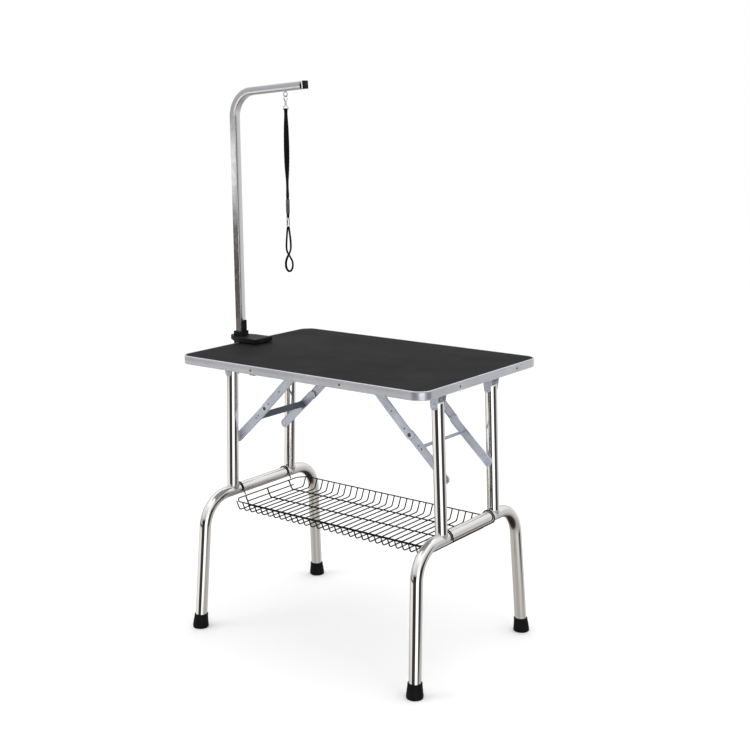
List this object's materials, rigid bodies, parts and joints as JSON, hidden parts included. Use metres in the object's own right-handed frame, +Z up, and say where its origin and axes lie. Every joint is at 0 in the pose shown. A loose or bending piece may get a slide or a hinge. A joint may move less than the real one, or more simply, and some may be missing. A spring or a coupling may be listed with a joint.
{
  "type": "folding pet grooming table",
  "caption": "Folding pet grooming table with padded top, U-shaped leg frames, locking braces, hung wire basket, clamp-on arm and hanging noose.",
  "frame": {"origin": "on the floor under the centre of the whole object, from the arm lock knob to the far end of the top", "axes": "+X along the table away from the arm, +Y across the table to the back, +Z up"},
  "size_m": [0.8676, 0.5566, 1.504],
  "materials": {
    "edge_aluminium": "satin anodised extrusion",
    "mat_rubber": "matte, finely pebbled non-slip mat",
    "board": "grey-faced fibreboard",
    "foot_rubber": "matte moulded rubber",
    "polished_steel": "polished stainless tube",
    "chrome": "bright plated",
    "coated_wire": "black plastic dip over steel wire",
    "webbing": "woven black nylon",
    "keeper_plastic": "dark grey moulded sleeve",
    "clamp_iron": "black powder coat, slightly textured",
    "black_plastic": "black moulded plastic",
    "zinc_steel": "zinc-plated pressed steel"
  },
  "bodies": {
    "table": {"top_board": "board", "top_mat": "mat_rubber", "edge_trim": "edge_aluminium", "clamp_body": "clamp_iron", "left_front_leg_bracket": "zinc_steel", "left_front_leg_pin": "zinc_steel", "left_front_brace_bracket": "zinc_steel", "left_back_leg_bracket": "zinc_steel", "left_back_leg_pin": "zinc_steel", "left_back_brace_bracket": "zinc_steel", "right_front_leg_bracket": "zinc_steel", "right_front_leg_pin": "zinc_steel", "right_front_brace_bracket": "zinc_steel", "right_back_leg_bracket": "zinc_steel", "right_back_leg_pin": "zinc_steel", "right_back_brace_bracket": "zinc_steel"},
    "left_legs": {"left_floor_tube": "polished_steel", "left_front_upright": "polished_steel", "left_front_foot": "foot_rubber", "left_back_upright": "polished_steel", "left_back_foot": "foot_rubber"},
    "left_brace_upper": {"left_front_brace_upper": "zinc_steel", "left_front_knee_rivet": "zinc_steel", "left_back_brace_upper": "zinc_steel", "left_back_knee_rivet": "zinc_steel"},
    "left_brace_lower": {"left_front_brace_lower": "zinc_steel", "left_back_brace_lower": "zinc_steel", "left_brace_crossbar": "zinc_steel"},
    "right_legs": {"right_floor_tube": "polished_steel", "right_front_upright": "polished_steel", "right_front_foot": "foot_rubber", "right_back_upright": "polished_steel", "right_back_foot": "foot_rubber"},
    "right_brace_upper": {"right_front_brace_upper": "zinc_steel", "right_front_knee_rivet": "zinc_steel", "right_back_brace_upper": "zinc_steel", "right_back_knee_rivet": "zinc_steel"},
    "right_brace_lower": {"right_front_brace_lower": "zinc_steel", "right_back_brace_lower": "zinc_steel", "right_brace_crossbar": "zinc_steel"},
    "basket": {"basket_tray": "coated_wire", "basket_rim": "coated_wire", "left_basket_hanger": "coated_wire", "right_basket_hanger": "coated_wire"},
    "clamp_foot": {"clamp_pad": "black_plastic"},
    "clamp_handle": {"clamp_screw": "zinc_steel", "clamp_knob": "black_plastic"},
    "arm_lock": {"arm_lock_knob": "black_plastic"},
    "arm": {"arm_tube": "chrome", "arm_end_cap": "black_plastic", "arm_eye_bolt": "zinc_steel"},
    "hook": {"snap_hook": "chrome"},
    "gate": {"snap_gate": "chrome"},
    "noose": {"snap_swivel": "chrome", "noose_strap": "webbing", "noose_keeper": "keeper_plastic", "noose_loop": "webbing"},
    "slider": {"noose_slider": "chrome"}
  },
  "joints": [
    {"name": "left_leg_fold", "type": "hinge", "parent": "table", "child": "left_legs", "pos_m": [-0.31725, 0, 0.716], "axis": [0, -1, 0], "range_deg": [0, 92], "deforming": ["left_basket_hanger"]},
    {"name": "left_brace_upper_fold", "type": "hinge", "parent": "table", "child": "left_brace_upper", "pos_m": [-0.09465, 0, 0.742], "axis": [0, -1, 0], "range_deg": [-42.56, 0]},
    {"name": "left_brace_lower_fold", "type": "hinge", "parent": "left_legs", "child": "left_brace_lower", "pos_m": [-0.32415, 0, 0.5223], "axis": [0, -1, 0], "range_deg": [0, 37.23]},
    {"name": "right_leg_fold", "type": "hinge", "parent": "table", "child": "right_legs", "pos_m": [0.37475, 0, 0.716], "axis": [0, 1, 0], "range_deg": [0, 86], "deforming": ["right_basket_hanger"]},
    {"name": "right_brace_upper_fold", "type": "hinge", "parent": "table", "child": "right_brace_upper", "pos_m": [0.15215, 0, 0.742], "axis": [0, 1, 0], "range_deg": [-39.13, 0]},
    {"name": "right_brace_lower_fold", "type": "hinge", "parent": "right_legs", "child": "right_brace_lower", "pos_m": [0.38165, 0, 0.5223], "axis": [0, 1, 0], "range_deg": [0, 39.25]},
    {"name": "basket_lift", "type": "slide", "parent": "table", "child": "basket", "axis": [0, 0, 1], "range_m": [0, 0.06]},
    {"name": "clamp_pad_travel", "type": "slide", "parent": "table", "child": "clamp_foot", "axis": [0, 0, 1], "range_m": [-0.0075, 0]},
    {"name": "clamp_screw_turn", "type": "hinge", "parent": "clamp_foot", "child": "clamp_handle", "pos_m": [-0.34625, 0, 0.7], "axis": [0, 0, 1], "range_deg": [-1801, 0]},
    {"name": "arm_lock_turn", "type": "hinge", "parent": "table", "child": "arm_lock", "pos_m": [-0.43375, 0, 0.745], "axis": [-1, 0, 0], "range_deg": [-360, 0]},
    {"name": "arm_height", "type": "slide", "parent": "table", "child": "arm", "axis": [0, 0, 1], "range_m": [-0.19, 0.03]},
    {"name": "noose_swing", "type": "hinge", "parent": "arm", "child": "hook", "pos_m": [-0.20725, 0, 1.469], "axis": [0, 1, 0], "range_deg": [-35, 20]},
    {"name": "snap_gate_press", "type": "slide", "parent": "hook", "child": "gate", "axis": [0, 0, -1], "range_m": [0, 0.0035], "stiffness_N_per_m": 150},
    {"name": "noose_swivel_turn", "type": "hinge", "parent": "hook", "child": "noose", "pos_m": [-0.20725, 0, 1.4415], "axis": [0, 0, 1], "continuous": true},
    {"name": "noose_slider_slide", "type": "slide", "parent": "noose", "child": "slider", "axis": [0, 0, -1], "range_m": [0, 0.02], "deforming": ["noose_loop"]}
  ],
  "couplings": [
    {"joint": "left_brace_upper_fold", "follows": "left_leg_fold", "ratio": -0.46205},
    {"joint": "left_brace_lower_fold", "follows": "left_leg_fold", "ratio": 0.40416},
    {"joint": "right_brace_upper_fold", "follows": "right_leg_fold", "ratio": -0.45437},
    {"joint": "right_brace_lower_fold", "follows": "right_leg_fold", "ratio": 0.45578},
    {"joint": "clamp_screw_turn", "follows": "clamp_pad_travel", "rad_per_m": 4188.8}
  ]
}
